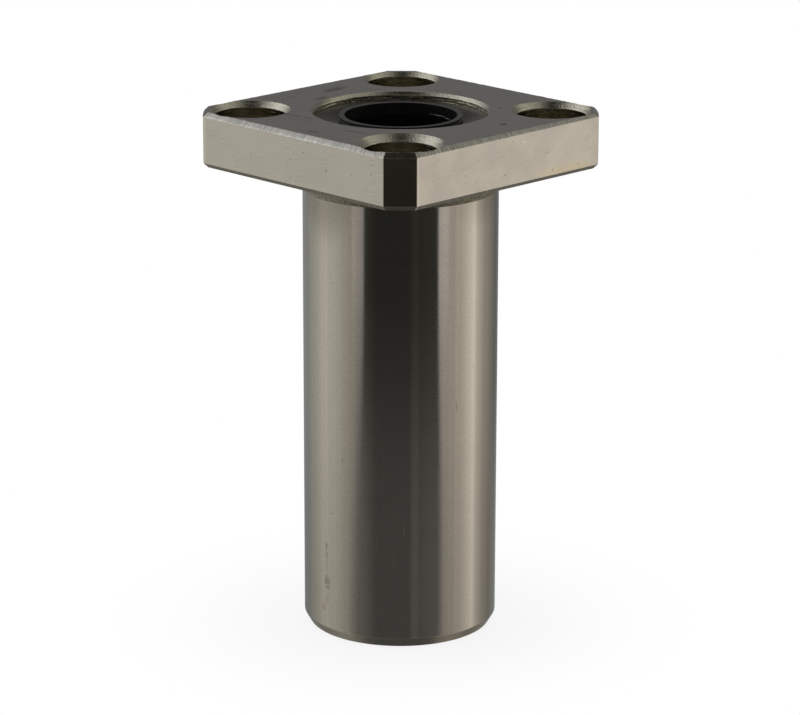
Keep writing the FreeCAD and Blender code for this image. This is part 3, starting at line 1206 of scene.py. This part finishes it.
    def finishes(self) -> dict[Area, Finish]:
        """The finish of each area."""
        return {
            Area.BARREL: GroundBarrel("ground_barrel", roughness=0.1, film=0.01,
                                      roughness_spread=0.01, marks=BARREL_MARKS),
            Area.SIDE: MilledSide("milled_side", roughness=0.24, tint=(0.61, 0.60, 0.585),
                                  film=0.01, marks=SIDE_MARKS),
            Area.FACE: GroundFace("ground_face", roughness=0.2, marks=TOP_MARKS),
            Area.EDGE: CutEdge("cut_edge", roughness=0.24),
            Area.SEAT: RoughTurned("turned_seat", roughness=0.2, tint=(0.60, 0.565, 0.45),
                                   grain_depth=0.06, ring_depth=0.1),
            Area.MOUTH: RoughTurned("recess_mouth", roughness=0.18, tint=(0.54, 0.525, 0.46),
                                    grain_depth=0.03, marks=MOUTH_MARKS),
            Area.NECK: RoughTurned("relief_neck", roughness=0.5, grain_per_mm=4.5,
                                   grain_depth=0.14, tint=(0.46, 0.435, 0.365)),
            Area.BORE: RoughTurned("inner_bore", roughness=0.3, grain_depth=0.005),
            Area.POCKET: RoughTurned("drilled_pocket", roughness=0.22, tint=(0.44, 0.405, 0.315),
                                     grain_per_mm=6.0, grain_depth=0.02, ring_depth=0.06),
            Area.COUNTERSINK: RoughTurned("countersink", roughness=0.17, tint=(0.60, 0.585, 0.51),
                                          grain_per_mm=6.0, grain_depth=0.035, ring_depth=0.04),
            Area.TURNED: GroundBarrel("turned_edge", roughness=0.15, tint=(0.50, 0.48, 0.44)),
        }

    def build(self) -> None:
        """Makes the sleeve, cuts its pockets and dresses it."""
        finishes = {area: finish.material() for area, finish in self.finishes().items()}
        mesh = self.blank()
        for area in Area:
            mesh.materials.append(finishes[area])
        blank = placed("sleeve_blank", mesh)
        low, high = self.flange_base, self.length
        cut = self.pockets.cut(blank, low, high, finishes[Area.POCKET], finishes[Area.COUNTERSINK])
        bpy.data.objects.remove(blank)
        cut.name = self.node
        sharpen(cut)
        piece("steel_sleeve", cut, self.slot, self.node)


@dataclass
class EndSeal:
    """A rubber end seal: dished face, gutter and a notched lip on the shaft."""

    node: str
    end: float
    inward: int
    slot: str = "seal_rubber"
    shaft_r: float = mount("shaft_bore")["dims"]["r_mm"]
    edge_depth: float = 0.9
    gutter_depth: float = 1.65
    gutter_width: float = 0.3
    lip_r: float = 6.625
    lip_top: float = 0.5
    lip_land: float = 1.3
    notch_place: float = 0.8
    notch_width: float = 0.16
    notch_depth: float = 0.12
    back_r: float = 6.6
    points: int = 288

    def outline(self) -> list[Corner]:
        """The seal's section, with depths measured inwards from the sleeve's end."""
        half_notch = self.notch_width / 2
        steps = [(*corner, 0.0) for corner in SEAT.groove()]
        steps += [
            (SEAT.radius, SEAT.depth, 0.05),
            (self.back_r, SEAT.depth, 0.05),
            (self.shaft_r, self.lip_top + self.lip_land, 0.04),
            (self.shaft_r, self.lip_top, 0.06),
            (self.lip_r, self.lip_top, 0.06),
            (self.lip_r, self.notch_place - half_notch, 0.02),
            (self.lip_r - self.notch_depth, self.notch_place, 0.02),
            (self.lip_r, self.notch_place + half_notch, 0.02),
            (self.lip_r, self.gutter_depth, 0.1),
            (self.lip_r + self.gutter_width, self.gutter_depth, 0.1),
            (SEAT.radius, self.edge_depth, 0.05),
        ]
        return [Corner(r, self.end + self.inward * depth, Area.BORE, ease)
                for r, depth, ease in steps]

    def build(self, finish: Finish) -> None:
        """Makes the seal.

        Args:
            finish: The rubber's finish.
        """
        angles = np.linspace(0.0, 2 * math.pi, self.points, endpoint=False)
        loft = Loft(self.node, np.linspace(0.0, 2 * math.pi * SEAT.radius, self.points + 1))
        for corner in eased(self.outline()):
            loft.add(circle(angles, corner.reach, corner.height), Area(0))
        mesh = loft.mesh()
        mesh.materials.append(finish.material())
        sharpen(mesh)
        piece("rubber_" + self.node, mesh, self.slot, self.node)


@dataclass
class BallCages:
    """The two cages and their balls, whose solids are shown as they are."""

    cage_prefix: str = "retainer_"
    ball_prefix: str = "ball_circuit_"

    def dress(self, cage: Finish, balls: Finish) -> None:
        """Gives the solids their finishes.

        Args:
            cage: The plastic's finish.
            balls: The balls' finish.
        """
        for name, solid in frame["nodes"].items():
            if name.startswith(self.cage_prefix):
                self.wear(solid, cage)
            elif name.startswith(self.ball_prefix):
                self.wear(solid, balls)

    @staticmethod
    def wear(solid: Object, finish: Finish) -> None:
        """Puts a finish on every slot of a solid."""
        for slot in solid.material_slots:
            slot.material = finish.material()
        log.info("%s: %s", solid.name, finish.name)


@dataclass
class PhotoCamera:
    """The camera that took the photograph, found from the bearing's known sizes."""

    turn: float = math.radians(45.15)
    lift: float = math.radians(16.397)
    roll: float = math.radians(0.12)
    distance: float = 376.21
    aim_height: float = 28.5
    lens: float = 156.09
    sensor: float = 36.0
    shift_x: float = -0.0004
    shift_y: float = 0.01215
    clip_start: float = 0.01

    def build(self) -> None:
        """Sets the camera up and makes it the scene's own."""
        data = bpy.data.cameras.new("photo_camera")
        data.sensor_width, data.lens = self.sensor, self.lens
        data.sensor_fit = "HORIZONTAL"
        data.shift_x, data.shift_y = self.shift_x, self.shift_y
        data.clip_start = self.clip_start
        made = placed("photo_camera", data)
        aim = Vector((0.0, 0.0, self.aim_height)) * MM
        away = Vector((math.cos(self.lift) * math.sin(self.turn),
                       -math.cos(self.lift) * math.cos(self.turn), math.sin(self.lift)))
        made.location = aim + away * self.distance * MM
        level = (-away).to_track_quat("-Z", "Y")
        made.rotation_euler = (level @ Quaternion((0.0, 0.0, 1.0), self.roll)).to_euler()
        bpy.context.scene.camera = made


@dataclass(frozen=True)
class Patch:
    """A part of the tent with a tone of its own, between soft limits in one or two directions."""

    tone: Triple
    first: Pair
    second: Pair | None = None
    least: float = 0.0

    def over(self, bench: NodeBench, first: Socket, second: Socket, colour: Socket) -> Socket:
        """Lays the patch over a colour.

        Args:
            bench: The tent's nodes.
            first: Where the first limits are measured.
            second: Where the second limits are measured.
            colour: The colour below.

        Returns:
            The colour with the patch on it.
        """
        share = bench.span(first, *self.first)
        if self.second:
            share = bench.times(share, bench.span(second, *self.second, self.least))
        return bench.blend(share, colour, self.tone)


@dataclass(frozen=True)
class FrontEdge:
    """An upright edge of the tent's dark front, which flares and softens towards the table."""

    side: int
    bearing: float
    flare: float
    flare_heights: Pair
    softening: float
    softness: float = 1.5

    def share(self, bench: NodeBench, degrees: Socket, height: Socket, low: Socket) -> Socket:
        """How much of the front is seen, as far as this edge goes.

        Args:
            bench: The tent's nodes.
            degrees: The bearing.
            height: The sine of the angle above the table.
            low: How near the table it is.

        Returns:
            One inside the edge and zero outside.
        """
        flare = bench.span(height, *self.flare_heights)
        reach = bench.math("MULTIPLY_ADD", flare, self.flare, self.bearing)
        inside = bench.math("MULTIPLY_ADD", degrees, -self.side, reach)
        soft = bench.math("MULTIPLY_ADD", low, self.softening, self.softness)
        return bench.span(bench.math("DIVIDE", inside, soft), -1.0, 1.0)


@dataclass
class LightTent:
    """Cloth walls round the table, as the ground barrel mirrors them.

    Bearings are in degrees to the right of the photograph's camera, seen from the part.
    """

    turn: float = math.radians(45)
    radius: float = 3.0
    walls: tuple[tuple[float, Triple], ...] = (
        (-180, (0.27, 0.28, 0.28)),
        (-142, (0.295, 0.30, 0.287)),
        (-117, (0.50, 0.473, 0.40)),
        (-102, (0.65, 0.615, 0.52)),
        (-92, (0.61, 0.582, 0.487)),
        (-75, (0.51, 0.487, 0.395)),
        (-59, (0.37, 0.335, 0.282)),
        (-47, (0.265, 0.247, 0.228)),
        (47, (0.40, 0.372, 0.335)),
        (62, (0.46, 0.405, 0.335)),
        (78, (0.60, 0.536, 0.445)),
        (91, (0.82, 0.741, 0.63)),
        (96.5, (0.96, 0.871, 0.741)),
        (104, (0.65, 0.586, 0.492)),
        (115, (0.43, 0.384, 0.322)),
        (138, (0.23, 0.215, 0.18)),
        (150, (0.145, 0.15, 0.145)),
        (180, (0.27, 0.28, 0.28)),
    )
    roof: tuple[tuple[float, Triple], ...] = (
        (-180, (0.161, 0.158, 0.153)),
        (-161, (0.155, 0.15, 0.145)),
        (-150, (0.38, 0.375, 0.36)),
        (-140, (0.68, 0.675, 0.65)),
        (-131, (0.88, 0.87, 0.85)),
        (-112, (1.0, 0.99, 0.96)),
        (-95, (0.96, 0.95, 0.92)),
        (-78, (0.40, 0.39, 0.37)),
        (-62, (0.05, 0.048, 0.04)),
        (58, (0.045, 0.043, 0.036)),
        (74, (0.20, 0.195, 0.17)),
        (90, (0.45, 0.44, 0.38)),
        (112, (0.74, 0.72, 0.625)),
        (122, (0.49, 0.475, 0.41)),
        (131, (0.30, 0.29, 0.25)),
        (148, (0.135, 0.13, 0.113)),
        (163, (0.21, 0.205, 0.19)),
        (171, (0.163, 0.16, 0.155)),
        (180, (0.161, 0.158, 0.153)),
    )
    overhead: tuple[tuple[float, Triple], ...] = (
        (-1.0, (1.0, 0.99, 0.96)),
        (-0.7, (0.98, 0.97, 0.94)),
        (-0.557, (0.70, 0.69, 0.665)),
        (-0.42, (0.30, 0.295, 0.28)),
        (-0.306, (0.12, 0.118, 0.107)),
        (-0.2, (0.03, 0.029, 0.023)),
        (0.1, (0.02, 0.0195, 0.015)),
        (0.21, (0.06, 0.058, 0.048)),
        (0.306, (0.26, 0.253, 0.218)),
        (0.557, (0.42, 0.41, 0.353)),
        (1.0, (0.48, 0.467, 0.402)),
    )
    front_high: Triple = (0.0228, 0.0222, 0.0182)
    front_low: Triple = (0.0755, 0.0727, 0.065)
    table_patches: tuple[Patch, ...] = (
        Patch((0.238, 0.224, 0.188), (-0.42, -0.6), (128.0, 150.0), 0.25),
        Patch((0.095, 0.092, 0.083), (-0.8, -0.97)),
    )
    roof_patches: tuple[Patch, ...] = (
        Patch((0.05, 0.049, 0.045), (0.3, 0.55), (150.0, 172.0)),
        Patch((0.15, 0.147, 0.14), (0.2, 0.36), (75.0, 50.0)),
    )
    overhead_patches: tuple[Patch, ...] = (
        Patch((0.5, 0.495, 0.475), (0.0, -0.22), (0.45, 0.25)),
        Patch((0.15, 0.147, 0.14), (0.6, 0.75), (0.45, 0.25)),
    )
    horizon: Pair = (-0.14, 0.0)
    zenith: Pair = (0.55, 0.85)
    table_fade: Quad = (-0.25, -0.36, 1.0, 0.77)
    beside_glow: Quad = (61.0, 56.5, 0.0, 0.42)
    beside_heights: Pair = (-0.268, -0.232)
    rear_glow: Quad = (132.0, 150.0, 0.0, 0.8)
    rear_heights: Pair = (-0.265, -0.345)
    folds_per_degree: float = 0.22
    fold_glow: Quad = (0.3, 0.7, 0.95, 1.05)
    front_edges: tuple[FrontEdge, ...] = (
        FrontEdge(-1, 43.5, 13.0, (-0.244, -0.344), 10.0),
        FrontEdge(1, 45.0, 5.7, (-0.236, -0.33), 5.0),
    )
    soft_heights: Pair = (-0.244, -0.344)
    front_heights: Pair = (-0.251, -0.319)
    right_glow: Quad = (8.0, 40.0, 1.0, 1.5)
    left_glow: Quad = (-26.0, -48.0, 0.0, 0.85)
    stripe: float = 17.4
    stripe_glow: Quad = (5.6, 3.0, 0.0, 0.42)

    @staticmethod
    def stops(row: Sequence[tuple[float, Triple]]) -> list[tuple[float, Triple]]:
        """Bearings as places on a colour ramp."""
        return [(degrees / 360 + 0.5, colour) for degrees, colour in row]

    def front(self, bench: NodeBench, degrees: Socket, height: Socket) -> tuple[Socket, Socket]:
        """The dark front, where the camera and its stand are.

        Args:
            bench: The tent's nodes.
            degrees: The bearing.
            height: The sine of the angle above the table.

        Returns:
            How much of the front is seen there, and its colour.
        """
        low = bench.span(height, *self.soft_heights)
        sides = [edge.share(bench, degrees, height, low) for edge in self.front_edges]
        share = bench.span(height, *self.front_heights)
        colour = bench.blend(share, self.front_high, self.front_low)
        line = bench.math("ABSOLUTE", bench.math("SUBTRACT", degrees, self.stripe))
        paler = bench.span(degrees, *self.right_glow)
        paler = bench.math("ADD", paler, bench.span(line, *self.stripe_glow))
        paler = bench.math("ADD", paler, bench.span(degrees, *self.left_glow))
        return bench.times(*sides), bench.scaled(colour, paler)

    def cloth(self) -> Material:
        """The glowing cloth.

        Returns:
            A material that gives each direction its light.
        """
        made, bench = painted("tent_cloth")
        place = bench.node("ShaderNodeTexCoord").outputs["Object"]
        away = bench.node("ShaderNodeVectorMath", {0: place}, operation="NORMALIZE")
        parts = bench.node("ShaderNodeSeparateXYZ", {0: bench.turned(away, self.turn)}).outputs
        bearing, height = bench.math("ARCTAN2", parts["Y"], parts["X"]), parts["Z"]
        degrees = bench.math("DEGREES", bearing)
        off_axis = bench.math("ABSOLUTE", degrees)
        along = bench.math("MULTIPLY_ADD", bearing, 0.5 / math.pi, 0.5)
        colour = bench.ramp(along, self.stops(self.walls))
        fade = bench.span(height, *self.table_fade)
        beside = bench.span(off_axis, *self.beside_glow)
        glow = bench.times(beside, bench.span(height, *self.beside_heights))
        rear = bench.span(degrees, *self.rear_glow)
        rear = bench.times(rear, bench.span(height, *self.rear_heights))
        folds = bench.node("ShaderNodeTexNoise",
                           {"W": degrees, "Scale": self.folds_per_degree, "Detail": 3.0},
                           noise_dimensions="1D")
        for more in (rear, bench.span(folds, *self.fold_glow)):
            glow = bench.math("ADD", glow, more)
        colour = bench.scaled(colour, bench.times(fade, glow))
        share, dark = self.front(bench, degrees, height)
        colour = bench.blend(share, colour, dark)
        for patch in self.table_patches:
            colour = patch.over(bench, height, off_axis, colour)
        roof = bench.ramp(along, self.stops(self.roof))
        for patch in self.roof_patches:
            roof = patch.over(bench, height, off_axis, roof)
        across = bench.math("MULTIPLY_ADD", parts["Y"], 0.5, 0.5)
        above = bench.ramp(across, [(side / 2 + 0.5, tone) for side, tone in self.overhead])
        for patch in self.overhead_patches:
            above = patch.over(bench, parts["X"], bench.math("ABSOLUTE", parts["Y"]), above)
        roof = bench.blend(bench.span(height, *self.zenith), roof, above)
        colour = bench.blend(bench.span(height, *self.horizon), colour, roof)
        bench.surface(bench.node("ShaderNodeEmission", {"Color": colour}))
        return made

    def build(self) -> None:
        """Hangs the tent, which the camera looks through."""
        mesh = bpy.data.meshes.new("light_tent")
        with edited(mesh) as shell:
            bmesh.ops.create_uvsphere(shell, u_segments=64, v_segments=32, radius=self.radius)
            bmesh.ops.reverse_faces(shell, faces=shell.faces)
        mesh.materials.append(self.cloth())
        made = placed("light_tent", mesh)
        made.visible_camera = False
        made.visible_transmission = False
        made.visible_shadow = False


@dataclass
class Studio:
    """The tent, a soft lamp over the table, a white floor and a white background."""

    tent: LightTent = field(default_factory=LightTent)
    floor_reach: float = 0.9
    lamp_height: float = 0.75
    lamp_size: float = 0.5
    lamp_radiance: float = 4.5
    floor_drop: float = 0.02
    floor_tone: float = 0.9
    shadow_reach: Pair = (0.01, 0.035)
    shadow_white: float = 0.87

    @staticmethod
    def seen(bench: NodeBench) -> Socket:
        """One for what the camera sees, straight or in metal or glass, and zero for light."""
        rays = bench.node("ShaderNodeLightPath").outputs
        either = bench.math("MAXIMUM", rays["Is Camera Ray"], rays["Is Glossy Ray"])
        return bench.math("MAXIMUM", either, rays["Is Transmission Ray"])

    def background(self) -> None:
        """Makes what lies beyond the tent white, to the camera, to metal and to glass."""
        world = bpy.data.worlds.new("white_background")
        world.use_nodes = True
        bpy.context.scene.world = world
        bench = NodeBench(world.node_tree)
        colour = bench.blend(self.seen(bench), (0.5, 0.5, 0.5), (1.0, 1.0, 1.0))
        bench.put(world.node_tree.nodes["Background"].inputs["Color"], colour)

    def lamp(self) -> None:
        """Hangs a square soft lamp over the table, too soft to show in the steel."""
        data = bpy.data.lights.new("table_lamp", "AREA")
        data.shape, data.size = "SQUARE", self.lamp_size
        data.energy = self.lamp_radiance * math.pi * self.lamp_size ** 2
        made = placed("table_lamp", data)
        made.location = (0.0, 0.0, self.lamp_height)
        made.visible_glossy = False

    def floor(self) -> None:
        """Lays a pale floor that keeps a soft shadow and can be seen through from below."""
        mesh = bpy.data.meshes.new("floor")
        with edited(mesh) as shell:
            bmesh.ops.create_circle(shell, cap_ends=True, segments=96, radius=self.floor_reach)
        made = placed("floor", mesh)
        made.location = (0.0, 0.0, -self.floor_drop * MM)
        paint, bench = painted("pale_floor")
        place = bench.node("ShaderNodeTexCoord").outputs["Object"]
        matt = bench.node("ShaderNodeBsdfDiffuse", {"Color": (*[self.floor_tone] * 3, 1.0)})
        white = bench.node("ShaderNodeEmission", {"Color": (1.0, 1.0, 1.0, 1.0)})
        near = bench.span(bench.length(place), *self.shadow_reach, self.shadow_white)
        share = bench.times(self.seen(bench), near)
        mixed = bench.node("ShaderNodeMixShader", {0: share, 1: matt, 2: white})
        clear = bench.node("ShaderNodeBsdfTransparent")
        under = bench.node("ShaderNodeNewGeometry").outputs["Backfacing"]
        bench.surface(bench.node("ShaderNodeMixShader", {0: under, 1: mixed, 2: clear}))
        mesh.materials.append(paint)
        made.visible_glossy = False

    def build(self) -> None:
        """Sets up the background, the tent, the lamp and the floor."""
        bpy.context.scene.view_settings.view_transform = "Standard"
        self.background()
        self.tent.build()
        self.lamp()
        self.floor()


def main() -> None:
    """Builds the bearing's pieces, the camera and the studio."""
    logging.basicConfig(level=logging.INFO, format="%(name)s: %(message)s")
    sleeve = FlangedSleeve()
    sleeve.build()
    rubber = MouldedRubber("seal_rubber_black")
    # The flange seal's rubber carries the painted glints.
    glinted = MouldedRubber("seal_rubber_glinted", marks=SEAL_GLINTS)
    EndSeal("end_seal_flange", sleeve.length, -1).build(glinted)
    EndSeal("end_seal_tail", 0.0, 1).build(rubber)
    BallCages().dress(MouldedPlastic("cage_plastic_black"),
                      LappedBall("ball_steel_lapped", roughness=0.08))
    PhotoCamera().build()
    Studio().build()


if __name__ == "__main__":
    main()
